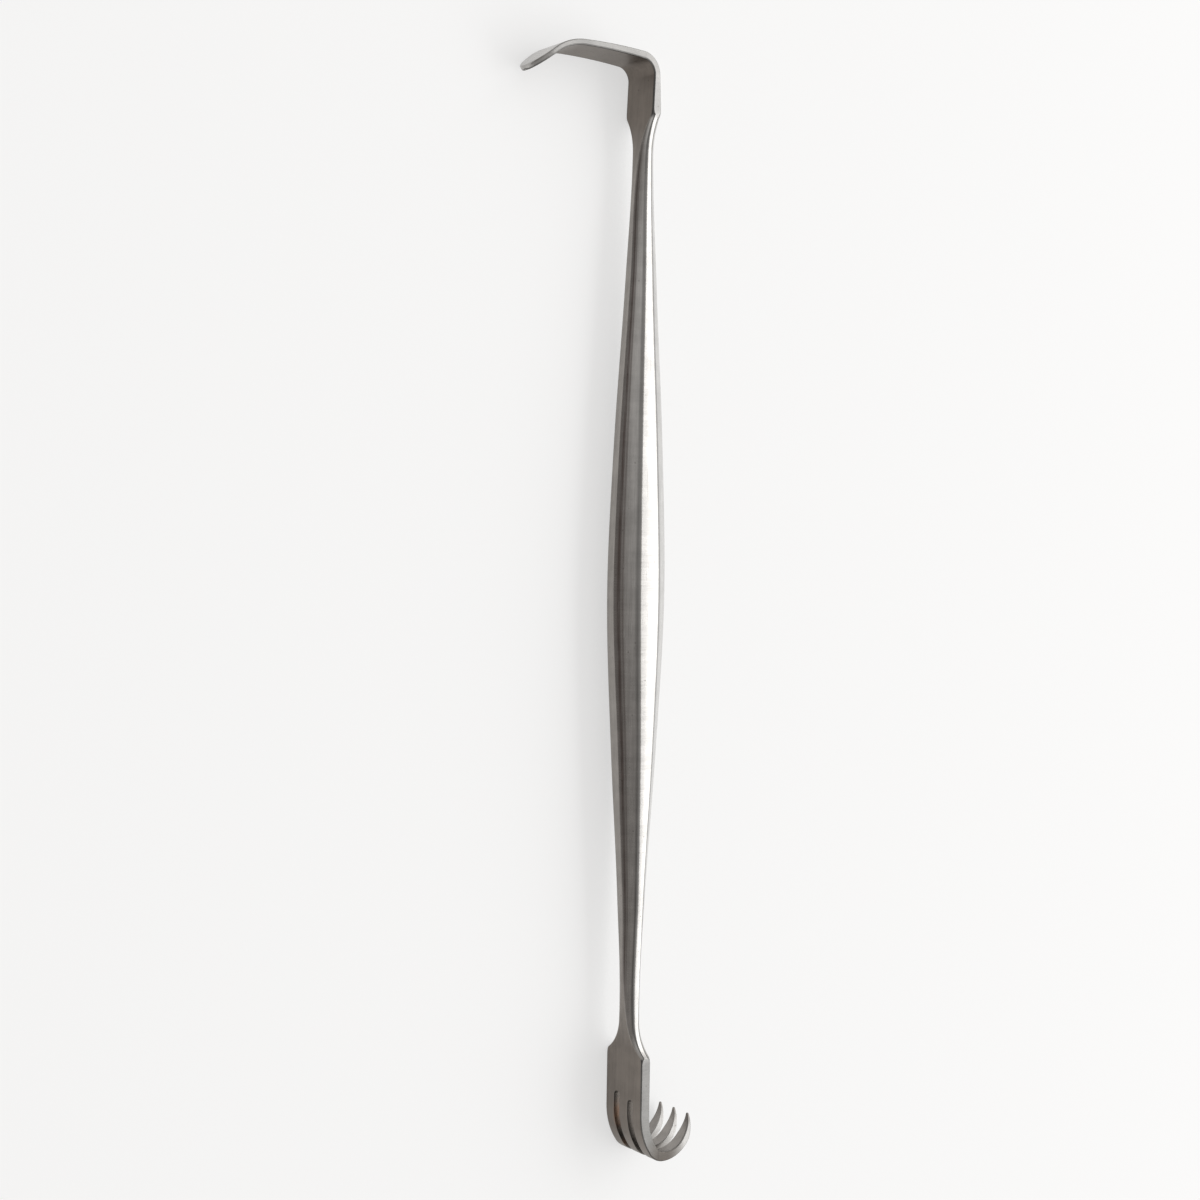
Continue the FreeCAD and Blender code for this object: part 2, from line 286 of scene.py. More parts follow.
def bladeRings(blade, length):
    marks = walk((0, length), math.radians(90), blade["runs"], blade["plate"])
    tip = marks[-1]
    rings, roundStart, forward = roundEndRings(blade, tip)
    for point, heading, thick in reversed(marks[1:]):
        beforeRound = (point - roundStart).dot(forward) < -0.05
        if beforeRound or abs(heading - tip[1]) > 1e-3:
            rings.append(plateRing(point, heading + math.pi, thick, blade["width"],
                                   blade["edge"]))
    return rings + [shoulderRing(length + plateEdges["shoulderStep"], blade)]


def handleRings(handle, blade, rake):
    stations, length = handle["stations"], handle["length"]
    rows = flareRows(handle, stations[0], 0, rake["plate"], rake["width"])[::-1]
    rows += stations + flareRows(handle, stations[-1], length, blade["plate"], blade["width"])
    first, last = stations[0][0], stations[-1][0]
    steps = round((last - first) / handle["ringStep"])
    heights = [row[0] for row in rows if row[0] <= first or row[0] >= last]
    heights += [first + (last - first) * n / steps for n in range(1, steps)]
    rings = []
    for height in sorted(heights, reverse=True):
        toShoulder = min(height, length - height)
        softness = handle["shoulderSoftness"] + toShoulder * handle["softening"]
        rings.append((Vector((0, height)), -math.pi / 2, *smoothThrough(rows, height),
                      handle["crown"], min(handle["softness"], softness),
                      handle["belly"] * ramp(toShoulder, 0, handle["bellyFade"])))
    return rings


def rakeRings(rake):
    rings = [shoulderRing(-plateEdges["shoulderStep"], rake)]
    for point, heading, thick in walk((0, 0), -math.pi / 2, rake["runs"], rake["plate"])[1:]:
        edge = min(rake["edge"], 0.3 * thick)
        rings.append(plateRing(point, heading, thick, rake["width"], edge))
    return rings


# At each point of a ring: how dark its painted reflection band is, and how dark its painted ridge
# shade is.
def reflectionAndShadeValues(rims):
    across = list(zip(bevelReflectionAndShade["streakedReflection"], bevelReflectionAndShade["ridgeShade"]))
    bevels = {}
    for index in (1, 3, 5, 7):
        bevels[index] = across[::-1] if index % 4 == 3 else across
        if rims:
            bevels[index] = [(0, rims[index in (3, 5)])] * len(across)
    values = []
    for index in range(8):
        if index % 2:
            values += bevels[index][:1] + bevels[index]
        else:
            plain = [(0, 0)] * (len(bevelReflectionAndShade["flatStops"]) + 2)
            values += bevels[(index - 1) % 8][-1:] + plain
    return values


def buildBar():
    mesh = bmesh.new()
    # painted dark reflection bands and painted ridge shade, one value of each for each point
    streakedReflection = mesh.verts.layers.float.new("streakedReflection")
    ridgeShade = mesh.verts.layers.float.new("ridgeShade")
    loops = []
    length = handleShape["length"]
    rings = (bladeRings(bladeShape, length) + handleRings(handleShape, bladeShape, rakeShape)
             + rakeRings(rakeShape))
    for point, heading, *section in rings:
        across = Vector((-math.sin(heading), math.cos(heading)))
        rims = None
        if not 0 <= point.y <= length:
            rims = bevelReflectionAndShade["rakeRims" if point.y < 0 else "bladeRims"]
        toBlade = length - point.y
        toPlate = min(abs(point.y), abs(toBlade))
        fade = min(ramp(point.y, *bevelReflectionAndShade["fromRake"]),
                   ramp(toBlade, *bevelReflectionAndShade["fromBlade"]))
        deepen = 1 + bevelReflectionAndShade["deeper"] * (1 - ramp(toPlate, 0, bevelReflectionAndShade["deeperTo"]))
        loop = []
        for (a, b), (dark, deep) in zip(ringOutline(*section), reflectionAndShadeValues(rims)):
            vertex = mesh.verts.new((point.x + across.x * a, point.y + across.y * a, b))
            vertex[streakedReflection], vertex[ridgeShade] = dark * fade, deep * deepen
            loop.append(vertex)
        loops.append(loop)
    for upper, lower in zip(loops, loops[1:]):
        for index in range(len(upper)):
            after = (index + 1) % len(upper)
            mesh.faces.new((upper[index], upper[after], lower[after], lower[index]))
    mesh.faces.new(loops[0])
    mesh.faces.new(loops[-1])
    bmesh.ops.recalc_face_normals(mesh, faces=mesh.faces)
    data = bpy.data.meshes.new("retractorSteel")
    mesh.to_mesh(data)
    mesh.free()
    steel = bpy.data.objects.new("retractorSteel", data)
    scene.collection.objects.link(steel)
    return steel


steel = buildBar()
print("bar drawn:", len(steel.data.polygons), "faces")


# Two slots part the rake into three prongs. They repeat, so Geometry Nodes cuts them.
slotShape = {
    "count": 2,
    "width": 1.25,
    "lowerEnd": -6.05,          # closed ends, from the rake's shoulders
    "upperEnd": -6.65,
    "apart": 3.15,
    "length": 24.0,
    "corners": 9,
    "roundness": 0.4999,        # radius of its ends, for its width
    "halfDepth": 20.0,
}
prongShape = {
    "width": 1.9,
    "pointWidth": 0.26,
    "pointLength": 3.9,
    "fullness": 0.62,
}
edgeEasing = {
    "width": 0.1,               # rounding of the edges that the slots leave
    "segments": 2,
    "fromAngle": 42,            # degrees
    "atShoulders": 0.6,         # share of the width there
    "forThickness": 0.3,        # and the most it takes of a thin plate
    "sharpAngle": 38,
}


def slotTree(shape):
    tree = bpy.data.node_groups.new("slotsBetweenProngs", "GeometryNodeTree")
    tree.interface.new_socket("Geometry", in_out="INPUT", socket_type="NodeSocketGeometry")
    sockets = {}
    for name, kind, value in (("Slots", "NodeSocketInt", shape["count"]),
                              ("Slot Width", "NodeSocketFloat", shape["width"]),
                              ("Slot Length", "NodeSocketFloat", shape["length"]),
                              ("Corner Points", "NodeSocketInt", shape["corners"]),
                              ("First Slot", "NodeSocketVector", None),
                              ("Last Slot", "NodeSocketVector", None),
                              ("Steel", "NodeSocketMaterial", None)):
        sockets[name] = tree.interface.new_socket(name, in_out="INPUT", socket_type=kind)
        if value is not None:
            sockets[name].default_value = value
    tree.interface.new_socket("Geometry", in_out="OUTPUT", socket_type="NodeSocketGeometry")
    inputs, output = tree.nodes.new("NodeGroupInput"), tree.nodes.new("NodeGroupOutput")

    def add(kind, **settings):
        node = tree.nodes.new(kind)
        for name, value in settings.items():
            setattr(node, name, value)
        return node

    def join(source, target):
        tree.links.new(source, target)

    outline = add("GeometryNodeCurvePrimitiveQuadrilateral")
    join(inputs.outputs["Slot Length"], outline.inputs["Width"])
    join(inputs.outputs["Slot Width"], outline.inputs["Height"])
    half = add("ShaderNodeMath", operation="MULTIPLY")
    half.inputs[1].default_value = shape["roundness"]
    join(inputs.outputs["Slot Width"], half.inputs[0])
    rounded = add("GeometryNodeFilletCurve", mode="POLY")
    join(outline.outputs[0], rounded.inputs["Curve"])
    join(inputs.outputs["Corner Points"], rounded.inputs["Count"])
    join(half.outputs[0], rounded.inputs["Radius"])
    through = add("GeometryNodeCurvePrimitiveLine")
    through.inputs["Start"].default_value = (0, 0, -shape["halfDepth"])
    through.inputs["End"].default_value = (0, 0, shape["halfDepth"])
    cutter = add("GeometryNodeCurveToMesh")
    cutter.inputs["Fill Caps"].default_value = True
    join(through.outputs[0], cutter.inputs["Curve"])
    join(rounded.outputs[0], cutter.inputs["Profile Curve"])
    turned = add("GeometryNodeTransform")
    turned.inputs["Rotation"].default_value = (math.radians(90), 0, math.radians(90))
    join(cutter.outputs[0], turned.inputs["Geometry"])
    places = add("GeometryNodeMeshLine", mode="END_POINTS")
    join(inputs.outputs["Slots"], places.inputs["Count"])
    join(inputs.outputs["First Slot"], places.inputs["Start Location"])
    join(inputs.outputs["Last Slot"], places.inputs["Offset"])
    cutters = add("GeometryNodeInstanceOnPoints")
    join(places.outputs[0], cutters.inputs["Points"])
    join(turned.outputs[0], cutters.inputs["Instance"])
    solid = add("GeometryNodeRealizeInstances")
    join(cutters.outputs[0], solid.inputs[0])
    cut = add("GeometryNodeMeshBoolean", operation="DIFFERENCE", solver="EXACT")
    join(inputs.outputs["Geometry"], cut.inputs["Mesh 1"])
    join(solid.outputs[0], cut.inputs["Mesh 2"])
    whole = add("GeometryNodeRealizeInstances")
    join(cut.outputs[0], whole.inputs[0])
    finish = add("GeometryNodeSetMaterial")
    join(whole.outputs[0], finish.inputs["Geometry"])
    join(inputs.outputs["Steel"], finish.inputs["Material"])
    join(finish.outputs[0], output.inputs[0])
    return tree, sockets


def cutSlots(steel, shape, material):
    tree, sockets = slotTree(shape)
    modifier = steel.modifiers.new("slots", "NODES")
    modifier.node_group = tree
    lower = (0, shape["lowerEnd"] - shape["length"] / 2, -shape["apart"] / 2)
    upper = (0, shape["upperEnd"] - shape["length"] / 2, shape["apart"] / 2)
    modifier[sockets["First Slot"].identifier] = lower
    modifier[sockets["Last Slot"].identifier] = upper
    modifier[sockets["Steel"].identifier] = material
    settle(steel)


# Turns a piece's modifiers into a plain mesh.
def settle(piece):
    bpy.context.view_layer.update()
    ready = piece.evaluated_get(bpy.context.evaluated_depsgraph_get())
    mesh = bpy.data.meshes.new_from_object(ready)
    old = piece.data
    piece.modifiers.clear()
    piece.data = mesh
    bpy.data.meshes.remove(old)
    mesh.name = piece.name


# Rounds the edges that the slots and the shoulders leave, less where the prongs get thin.
def easeEdges(steel, easing):
    marks = walk((0, 0), -math.pi / 2, rakeShape["runs"], rakeShape["plate"])
    shoulders = (0, handleShape["length"])
    mesh = bmesh.new()
    mesh.from_mesh(steel.data)
    weight = mesh.edges.layers.float.new("bevel_weight_edge")
    for edge in mesh.edges:
        sharp = edge.calc_face_angle(0) >= math.radians(easing["fromAngle"])
        if len(edge.link_faces) != 2 or not sharp:
            continue
        middle = (edge.verts[0].co + edge.verts[1].co) / 2
        if min(abs(middle.y - y) for y in shoulders) < 0.01:
            edge[weight] = easing["atShoulders"]
        elif middle.y < -1:
            near = min(marks, key=lambda mark: (mark[0] - middle.xy).length)
            if near is not marks[-1]:
                edge[weight] = min(1, easing["forThickness"] * near[2] / easing["width"])
    mesh.to_mesh(steel.data)
    mesh.free()
    modifier = steel.modifiers.new("easedEdges", "BEVEL")
    modifier.width = easing["width"]
    modifier.segments = easing["segments"]
    modifier.limit_method = "WEIGHT"
    modifier.use_clamp_overlap = False
    settle(steel)


# Narrows each prong to its needle point over its last stretch.
def drawPoints(steel, shape, slots):
    end = walk((0, 0), -math.pi / 2, rakeShape["runs"], rakeShape["plate"])[-1][0]
    foot = end.y - shape["pointLength"]
    tip = shape["pointWidth"] / shape["width"]
    way = tip + (1 - tip) * shape["fullness"]
    for vertex in steel.data.vertices:
        x, y, z = vertex.co
        if x < end.x / 2 or not foot < y < 0:
            continue
        share = min(1, (y - foot) / shape["pointLength"])
        narrow = ((1 - share) * (1 - 2 * share) + 4 * way * share * (1 - share)
                  + tip * share * (2 * share - 1))
        middle = round(z / slots["apart"]) * slots["apart"]
        vertex.co.z = middle + (z - middle) * narrow


# Keeps the ridges crisp, and lets the broad faces lead the shading beside the narrow ones.
def evenShading(steel, easing):
    steel.data.shade_smooth()
    steel.data.set_sharp_from_angle(angle=math.radians(easing["sharpAngle"]))
    modifier = steel.modifiers.new("evenShading", "WEIGHTED_NORMAL")
    modifier.keep_sharp = True
    settle(steel)


# Where the steel was bent and ground by hand it is duller, with painted shade. One value for each
# point.
finishAndPaintedLight = {
    "bladeHook": (-9.0, 138.6),     # middle of the space inside each hook
    "rakeHook": (4.3, -8.0),
    "bladeFade": (-12.0, 11.0),     # where inside the handle each plate's finish starts, and
    "rakeFade": (-13.0, 12.0),      # over what length it gets full
    "groundFade": (-0.6, 1.0),
    # painted highlight on the handle's far bevels, starting at the shoulders
    "farHighlightFade": (0.0, 3.0),
    # painted shade with the duller finish: darkest inside the blade's hook and outside the rake
    "bladeInside": 1.0,
    "bladeOutside": 0.12,
    "bladeEdge": 0.66,
    "rakeInside": 0.6,
    "rakeOutside": 0.95,
    "rakeEdge": 1.0,
    "rakePointEdge": 0.4,           # the sides of the prongs are ground brighter
    "pointEdgeRamp": (4.5, 3.0),    # along X
    "handleFace": 0.6,
    "sideRamp": (0.3, 0.5),         # how upright a face is to count as a side
    "farRamp": (0.3, 0.25),         # and how far it leans to the prongs' side to get the painted highlight
    "slotShade": 0.8,                # painted shade on the walls of both slots
    "wallReach": 0.03,
    "pointsFrom": 4.0,              # X where the plate ends and the points start
    "bendDarkening": 0.8,                # darker on the edges, where the rake turns
    "bendPlace": (3.6, -15.3),
    "bendReach": 4.2,
    "pointDarkening": 0.75,              # darker at the very end of each prong
    "pointReach": 1.9,
}


# How far a point lies off the walls of the nearest slot.
def offSlotWall(y, z, slots):
    radius = slots["width"] / 2
    end = slots["upperEnd" if z > 0 else "lowerEnd"]
    aside = abs(z) - slots["apart"] / 2
    return abs(math.hypot(aside, max(0, y - end + radius)) - radius)


# Painted shade on the walls of both slots; darker also round the rake's bend and at each prong's
# end.
def shadeAndDarkeningAt(place, flat, prongEnd, values):
    x, y, z = place
    away = (Vector(values["bendPlace"]) - place.xy).length / values["bendReach"]
    dark = values["bendDarkening"] * max(0, 1 - away * away) * flat
    onPoint = x > values["pointsFrom"]
    if y < 0 and not onPoint and offSlotWall(y, z, slotShape) < values["wallReach"]:
        return values["slotShade"]
    if y < 0 and onPoint:
        point = max(0, 1 - (prongEnd.y - y) / values["pointReach"])
        dark = max(dark, values["pointDarkening"] * point)
    return dark


# Per point: duller finish with painted shade, grinding, a painted highlight, painted slot shade
# with darker spots, and the brushing direction.
def markFinishAndPaintedLight(steel, values):
    mesh = steel.data
    length = handleShape["length"]
    bends = {"rake": walk((0, 0), -math.pi / 2, rakeShape["runs"], rakeShape["plate"]),
             "blade": walk((0, length), math.pi / 2, bladeShape["runs"], bladeShape["plate"])}
    marks = {"dullAndShade": [], "ground": [], "farHighlight": [], "shadeAndDarkening": []}
    brushing = []
    for vertex in mesh.vertices:
        place, normal = vertex.co, vertex.normal
        end = "blade" if place.y > length / 2 else "rake"
        inwards = length - place.y if end == "blade" else place.y
        plate = ramp(-inwards, *values[end + "Fade"])
        flat = ramp(abs(normal.z), *values["sideRamp"])
        toHook = (Vector(values[end + "Hook"]) - place.xy).normalized()
        face = values[end + ("Inside" if normal.xy.dot(toHook) > 0 else "Outside")]
        face = face * plate + values["handleFace"] * (1 - plate)
        edge = values[end + "Edge"]
        if end == "rake":
            edge += (values["rakePointEdge"] - edge) * ramp(place.x, *values["pointEdgeRamp"])
        marks["dullAndShade"].append(face * (1 - flat))
        leaning = ramp(normal.x, *values["farRamp"])
        marks["ground"].append(edge * flat * ramp(-inwards, *values["groundFade"]))
        marks["farHighlight"].append(flat * leaning * ramp(inwards, *values["farHighlightFade"]))
        marks["shadeAndDarkening"].append(shadeAndDarkeningAt(place, flat, bends["rake"][-1][0], values))
        heading = math.pi / 2
        if inwards < 0:
            heading = min(bends[end], key=lambda mark: (mark[0] - place.xy).length_squared)[1]
        brushing += [math.cos(heading), math.sin(heading), 0]
    for name, shares in marks.items():
        mesh.attributes.new(name, "FLOAT", "POINT").data.foreach_set("value", shares)
    mesh.attributes.new("brushing", "FLOAT_VECTOR", "POINT").data.foreach_set("vector", brushing)


def layDown(steel, place):
    turn = Matrix.Rotation(math.radians(place["tilt"]), 4, "X")
    shift = Matrix.Translation(Vector(place["shift"]))
    steel.data.transform(Matrix.Scale(mm, 4) @ shift @ turn)
    steel.data.update()


# Satin stainless steel: brushed along the bevels, ground across the side flats.
steelFinishAndPaintedLight = {
    "clean": (0.52, 0.508, 0.492, 1),
    # duller finish, and painted shade on the upright faces
    "dullAndShade": (0.190, 0.165, 0.143, 1),
    "ground": (0.245, 0.242, 0.235, 1),
    # painted dark reflection along the bevels, streaked brown
    "streakedReflection": (0.148, 0.121, 0.112, 1),
    # painted highlight on the handle's far bevels
    "farHighlight": (0.64, 0.63, 0.615, 1),
    # painted shade line at the bevels' ridges and the plates' rounded edges
    "ridgeShade": (0.10, 0.097, 0.093, 1),
    # painted shade on the slot walls; darker at the rake's bend and the prongs' ends
    "shadeAndDarkening": (0.110, 0.094, 0.080, 1),
    "heated": (0.235, 0.108, 0.044, 1),
    "pit": (0.08, 0.065, 0.055, 1),
    "ridgeShadeShare": 0.9,
    "heatShare": 0.7,
    "pitShare": 0.5,
    "grainTone": (0.91, 1.06),            # darkest and lightest that the grain makes it
    "patchTone": (0.93, 1.06),
    "patchScale": 420.0,
    "roughness": 0.24,
    "dullRoughness": 0.40,
    "grainRoughness": 0.03,
    "scratchRoughness": 0.12,
    "relief": 0.13,
    "reliefDepth": 0.00002,
    "anisotropy": 0.5,
    "lengthGrain": (5200, 150, 5200),     # how tightly the brushing repeats along each axis
    "crossGrain": (260, 7200, 260),
    "crossFrom": ((0.5, 0.68, 0.3), (0.9, 0.985, 0.7)),     # uprightness, and the share it adds
    "scratchGrain": (2600, 190, 2600),
    "scratchTurns": ((0.5, 3.0), (-0.9, 11.0)),             # turn and shift of each set
    "scratchRange": (0.70, 0.76),
    "pitScale": 1300.0,
    "pitRange": (0.06, 0.2),
    "pitRarity": (0.86, 0.9),
    "heatSpots": [                        # place and reach of each heat tint, in metres
        ((0.0056, -0.0746, 0.0025), (0.0017, 0.0050, 0.0011)),
        ((0.0075, -0.0785, 0.0025), (0.0022, 0.0016, 0.0009)),
        ((0.0056, -0.0745, 0.0057), (0.0012, 0.0030, 0.0007)),
    ],
}


def newGroup(name, inputs, outputs):
    tree = bpy.data.node_groups.new(name, "ShaderNodeTree")
    for label, kind, value in inputs:
        socket = tree.interface.new_socket(label, in_out="INPUT", socket_type=kind)
        if value is not None:
            socket.default_value = value
    for label, kind in outputs:
        tree.interface.new_socket(label, in_out="OUTPUT", socket_type=kind)
    return tree, tree.nodes.new("NodeGroupInput"), tree.nodes.new("NodeGroupOutput")


# Adds a node, sets its own settings and fills or links its inputs by name, or by number as
# in i0.
def put(tree, kind, settings=None, **inputs):
    node = tree.nodes.new(kind)
    for name, value in (settings or {}).items():
        setattr(node, name, value)
    for name, value in inputs.items():
        socket = node.inputs[int(name[1:]) if name[0] == "i" and name[1:].isdigit() else name]
        if isinstance(value, bpy.types.NodeSocket):
            tree.links.new(value, socket)
        else:
            socket.default_value = value
    return node


def scaled(tree, value, low, high, toLow=0.0, toHigh=1.0):
    node = put(tree, "ShaderNodeMapRange", {"interpolation_type": "SMOOTHSTEP"}, Value=value)
    node.inputs["From Min"].default_value, node.inputs["From Max"].default_value = low, high
    node.inputs["To Min"].default_value, node.inputs["To Max"].default_value = toLow, toHigh
    return node.outputs["Result"]


def maths(tree, operation, first, second=0.0):
    return put(tree, "ShaderNodeMath", {"operation": operation}, i0=first, i1=second).outputs[0]


def blend(tree, share, first, second, kind="MIX"):
    node = put(tree, "ShaderNodeMix", {"data_type": "RGBA", "blend_type": kind})
    for number, value in ((0, share), (6, first), (7, second)):
        socket = node.inputs[number]
        if isinstance(value, bpy.types.NodeSocket):
            tree.links.new(value, socket)
        else:
            socket.default_value = value
    return node.outputs[2]


# Fine parallel lines: broad streaks with finer ones inside them.
def grainGroup():
    tree, inside, outside = newGroup(
        "brushedGrain",
        [("Vector", "NodeSocketVector", None), ("Stretch", "NodeSocketVector", None)],
        [("Lines", "NodeSocketFloat")])
    stretched = put(tree, "ShaderNodeVectorMath", {"operation": "MULTIPLY"},
                    i0=inside.outputs["Vector"], i1=inside.outputs["Stretch"]).outputs[0]
    broad = put(tree, "ShaderNodeTexNoise", Vector=stretched, Scale=0.35, Detail=2.0)
    fine = put(tree, "ShaderNodeTexNoise", Vector=stretched, Scale=1.3, Detail=3.0, Roughness=0.7)
    both = maths(tree, "ADD", maths(tree, "MULTIPLY", broad.outputs["Fac"], 0.5),
                 maths(tree, "MULTIPLY", fine.outputs["Fac"], 0.5))
    tree.links.new(scaled(tree, both, 0.34, 0.66), outside.inputs["Lines"])
    return tree


# Short scratches and tiny pits from use.
def wearGroup(values):
    tree, inside, outside = newGroup(
        "usedSurface",
        [("Vector", "NodeSocketVector", None)],
        [("Scratches", "NodeSocketFloat"), ("Pits", "NodeSocketFloat")])
    vector = inside.outputs["Vector"]
    masks = []
    for turn, shift in values["scratchTurns"]:
        turned = put(tree, "ShaderNodeMapping", Vector=vector)
        turned.inputs["Rotation"].default_value = (turn, 0.3, turn * 1.7)
        turned.inputs["Scale"].default_value = values["scratchGrain"]
        turned.inputs["Location"].default_value = (shift, shift, 0)
        noise = put(tree, "ShaderNodeTexNoise", Vector=turned.outputs[0], Scale=1.0, Detail=1.0)
        masks.append(scaled(tree, noise.outputs["Fac"], *values["scratchRange"]))
    tree.links.new(maths(tree, "MAXIMUM", *masks), outside.inputs["Scratches"])
    cells = put(tree, "ShaderNodeTexVoronoi", Vector=vector, Scale=values["pitScale"])
    spots = scaled(tree, cells.outputs["Distance"], *values["pitRange"], 1.0, 0.0)
    chance = put(tree, "ShaderNodeSeparateColor", Color=cells.outputs["Color"]).outputs[0]
    rare = scaled(tree, chance, *values["pitRarity"])
    tree.links.new(maths(tree, "MULTIPLY", spots, rare), outside.inputs["Pits"])
    return tree


# Straw to brown colour that heat leaves round one place.
def heatGroup():
    tree, inside, outside = newGroup(
        "heatTint",
        [("Vector", "NodeSocketVector", None), ("Place", "NodeSocketVector", None),
         ("Reach", "NodeSocketVector", None)],
        [("Tint", "NodeSocketFloat")])
    away = put(tree, "ShaderNodeVectorMath", {"operation": "SUBTRACT"},
               i0=inside.outputs["Vector"], i1=inside.outputs["Place"]).outputs[0]
    shares = put(tree, "ShaderNodeVectorMath", {"operation": "DIVIDE"},
                 i0=away, i1=inside.outputs["Reach"]).outputs[0]
    share = put(tree, "ShaderNodeVectorMath", {"operation": "LENGTH"}, i0=shares).outputs["Value"]
    cloud = put(tree, "ShaderNodeTexNoise", Vector=inside.outputs["Vector"], Scale=900.0,
                Detail=3.0)
    uneven = maths(tree, "ADD", share, maths(tree, "MULTIPLY", cloud.outputs["Fac"], 0.5))
    tree.links.new(scaled(tree, uneven, 0.45, 1.15, 1.0, 0.0), outside.inputs["Tint"])
    return tree


# How far a face counts as a side flat, which is ground crosswise.
def sideShare(tree, values):
    normal = put(tree, "ShaderNodeNewGeometry").outputs["Normal"]
    upright = put(tree, "ShaderNodeSeparateXYZ", Vector=normal).outputs["Z"]
    upright = maths(tree, "ABSOLUTE", upright)
    shares = [scaled(tree, upright, low, high, 0.0, share)
              for low, high, share in values["crossFrom"]]
    return maths(tree, "ADD", *shares)


def either(tree, share, first, second):
    return put(tree, "ShaderNodeMix", {"data_type": "FLOAT"}, i0=share, i2=first,
               i3=second).outputs[0]


# The same grey in all three channels, to darken or lighten a colour with.
def greyTone(tree, shade):
    tone = put(tree, "ShaderNodeCombineColor")
    for channel in range(3):
        tree.links.new(shade, tone.inputs[channel])
    return tone.outputs[0]


# Base colour: finish, grinding, streaks and heat tint, with painted shade, a painted dark
# reflection and a painted highlight.
def steelColour(tree, marks, streaks, tints, values):
    # duller finish with painted shade on the upright faces
    colour = blend(tree, marks["dullAndShade"], values["clean"], values["dullAndShade"])
    colour = blend(tree, marks["ground"], colour, values["ground"])
    # painted dark reflection along the bevels, streaked by the grain
    streaked = maths(tree, "MULTIPLY", marks["streakedReflection"], scaled(tree, streaks, 0.05, 0.8, 0.7, 1.0))
    colour = blend(tree, streaked, colour, values["streakedReflection"])
    # painted highlight on the handle's far bevels
    colour = blend(tree, marks["farHighlight"], colour, values["farHighlight"])
    # painted ridge shade
    ridgeShade = maths(tree, "MULTIPLY", marks["ridgeShade"], values["ridgeShadeShare"])
    colour = blend(tree, ridgeShade, colour, values["ridgeShade"])
    # painted slot shade, and darker at the bend and prong ends
    colour = blend(tree, marks["shadeAndDarkening"], colour, values["shadeAndDarkening"])
    for tint in tints:
        share = maths(tree, "MULTIPLY", tint, values["heatShare"])
        colour = blend(tree, share, colour, values["heated"])
    return colour


def steelMaterial(values):
    material = bpy.data.materials.new("stainlessSteel")
    material.use_nodes = True
    tree = material.node_tree
    shader = tree.nodes["Principled BSDF"]
    place = put(tree, "ShaderNodeTexCoord").outputs["Object"]
    grain, wear, heat = grainGroup(), wearGroup(values), heatGroup()

    def grouped(group, **inputs):
        return put(tree, "ShaderNodeGroup", {"node_tree": group}, Vector=place, **inputs).outputs

    marks = {name: put(tree, "ShaderNodeAttribute", {"attribute_name": name}).outputs["Fac"]
             for name in ("dullAndShade", "ground", "streakedReflection", "farHighlight", "ridgeShade", "shadeAndDarkening")}
    lengthwise = grouped(grain, Stretch=values["lengthGrain"])["Lines"]
    crosswise = grouped(grain, Stretch=values["crossGrain"])["Lines"]
    lines = either(tree, sideShare(tree, values), lengthwise, crosswise)
    used = grouped(wear)
    tints = [grouped(heat, Place=spot, Reach=reach)["Tint"] for spot, reach in values["heatSpots"]]

    colour = steelColour(tree, marks, lengthwise, tints, values)
    patches = put(tree, "ShaderNodeTexNoise", Vector=place, Scale=values["patchScale"],
                  Detail=3.0).outputs["Fac"]
    shade = maths(tree, "MULTIPLY", scaled(tree, lines, 0, 1, *values["grainTone"]),
                  scaled(tree, patches, 0.3, 0.7, *values["patchTone"]))
    colour = blend(tree, 1.0, colour, greyTone(tree, shade), "MULTIPLY")
    pitted = maths(tree, "MULTIPLY", used["Pits"], values["pitShare"])
    tree.links.new(blend(tree, pitted, colour, values["pit"]), shader.inputs["Base Color"])

    worn = maths(tree, "MAXIMUM", marks["dullAndShade"], marks["ground"])
    rough = either(tree, worn, values["roughness"], values["dullRoughness"])
    uneven = values["grainRoughness"]
    rough = maths(tree, "ADD", rough, scaled(tree, lines, 0, 1, -uneven, uneven))
    scratched = maths(tree, "MULTIPLY", used["Scratches"], values["scratchRoughness"])
    tree.links.new(maths(tree, "ADD", rough, scratched), shader.inputs["Roughness"])

    height = maths(tree, "SUBTRACT", maths(tree, "MULTIPLY", lines, 0.5), used["Pits"])
    height = maths(tree, "SUBTRACT", height, maths(tree, "MULTIPLY", used["Scratches"], 0.6))
    bump = put(tree, "ShaderNodeBump", Height=height, Strength=values["relief"],
               Distance=values["reliefDepth"])
    tree.links.new(bump.outputs["Normal"], shader.inputs["Normal"])

    shader.inputs["Metallic"].default_value = 1.0
    shader.inputs["Anisotropic"].default_value = values["anisotropy"]
    brushing = put(tree, "ShaderNodeAttribute", {"attribute_name": "brushing"})
    tree.links.new(brushing.outputs["Vector"], shader.inputs["Tangent"])
    return material


stainless = steelMaterial(steelFinishAndPaintedLight)
cutSlots(steel, slotShape, stainless)
print("slots cut:", len(steel.data.polygons), "faces")
easeEdges(steel, edgeEasing)
drawPoints(steel, prongShape, slotShape)
evenShading(steel, edgeEasing)
markFinishAndPaintedLight(steel, finishAndPaintedLight)
layDown(steel, restingPlace)
print("prongs pointed:", len(steel.data.polygons), "faces")

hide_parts("double_ended_retractor")
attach(steel, "root")


# Studio: a pale floor under one broad soft panel, in a grey room that is darker high over the
# blade's side.
studio = {
    "floorColour": (0.955, 0.955, 0.95, 1),
    "floorRoughness": 0.9,
    "floorSpecular": 0.1,
    "floorRadius": 3.0,
    "floorGlow": 0.55,          # how far the floor is lifted to white where it is seen
    "panelSize": (2.0, 0.9),
    "panelPower": 9.8,
    "panelPlace": (0.83, 0.10, 0.54),
    "room": (0.62, 0.61, 0.60, 1),
    "roomDark": (0.27, 0.255, 0.245, 1),
    "darkToward": (-0.82, 0.0, 0.57),
    "darkStretch": (1, 0.5, 1),         # the dark side reaches further along Y
    "darkRange": (0.86, 0.97),
}


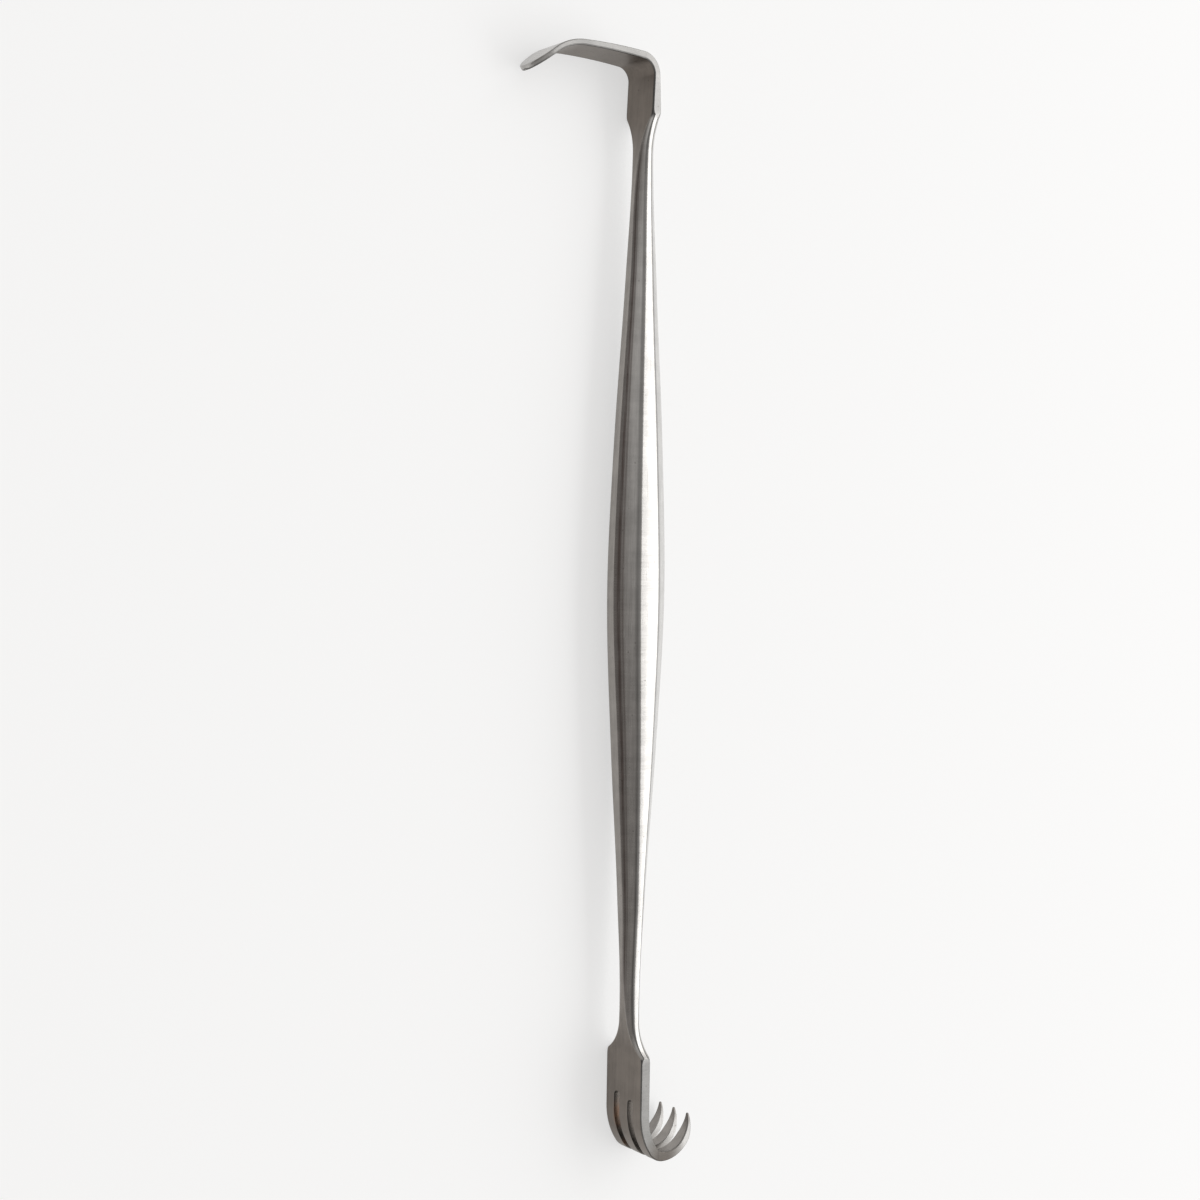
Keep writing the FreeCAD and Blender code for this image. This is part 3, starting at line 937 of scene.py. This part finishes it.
def addFloor(values):
    mesh = bmesh.new()
    bmesh.ops.create_circle(mesh, cap_ends=True, segments=96, radius=values["floorRadius"])
    data = bpy.data.meshes.new("paleFloor")
    mesh.to_mesh(data)
    mesh.free()
    floor = bpy.data.objects.new("paleFloor", data)
    scene.collection.objects.link(floor)
    paint = bpy.data.materials.new("paleFloor")
    paint.use_nodes = True
    tree = paint.node_tree
    shader = tree.nodes["Principled BSDF"]
    shader.inputs["Base Color"].default_value = values["floorColour"]
    shader.inputs["Roughness"].default_value = values["floorRoughness"]
    shader.inputs["Specular IOR Level"].default_value = values["floorSpecular"]
    rays = put(tree, "ShaderNodeLightPath").outputs
    seen = maths(tree, "MAXIMUM", rays["Is Camera Ray"],
                 maths(tree, "MAXIMUM", rays["Is Glossy Ray"], rays["Is Transmission Ray"]))
    glow = put(tree, "ShaderNodeEmission", Color=(1, 1, 1, 1), Strength=1.0)
    lift = maths(tree, "MULTIPLY", seen, values["floorGlow"])
    lifted = put(tree, "ShaderNodeMixShader", i0=lift, i1=shader.outputs[0], i2=glow.outputs[0])
    tree.links.new(lifted.outputs[0], tree.nodes["Material Output"].inputs["Surface"])
    data.materials.append(paint)


def addPanel(values):
    data = bpy.data.lights.new("softPanel", "AREA")
    data.shape = "RECTANGLE"
    data.size, data.size_y = values["panelSize"]
    data.energy = values["panelPower"]
    panel = bpy.data.objects.new("softPanel", data)
    panel.location = values["panelPlace"]
    panel.rotation_euler = (-Vector(values["panelPlace"])).to_track_quat("-Z", "Y").to_euler()
    scene.collection.objects.link(panel)


def addRoom(values):
    world = bpy.data.worlds.new("room")
    world.use_nodes = True
    tree = world.node_tree
    way = put(tree, "ShaderNodeTexCoord").outputs["Generated"]
    stretched = put(tree, "ShaderNodeVectorMath", {"operation": "MULTIPLY"}, i0=way,
                    i1=values["darkStretch"]).outputs[0]
    unit = put(tree, "ShaderNodeVectorMath", {"operation": "NORMALIZE"}, i0=stretched).outputs[0]
    facing = put(tree, "ShaderNodeVectorMath", {"operation": "DOT_PRODUCT"}, i0=unit,
                 i1=values["darkToward"]).outputs["Value"]
    shade = scaled(tree, facing, *values["darkRange"])
    tree.links.new(blend(tree, shade, values["room"], values["roomDark"]),
                   tree.nodes["Background"].inputs["Color"])
    scene.world = world


addFloor(studio)
addPanel(studio)
addRoom(studio)
scene.view_settings.view_transform = "Standard"
print("studio lit")
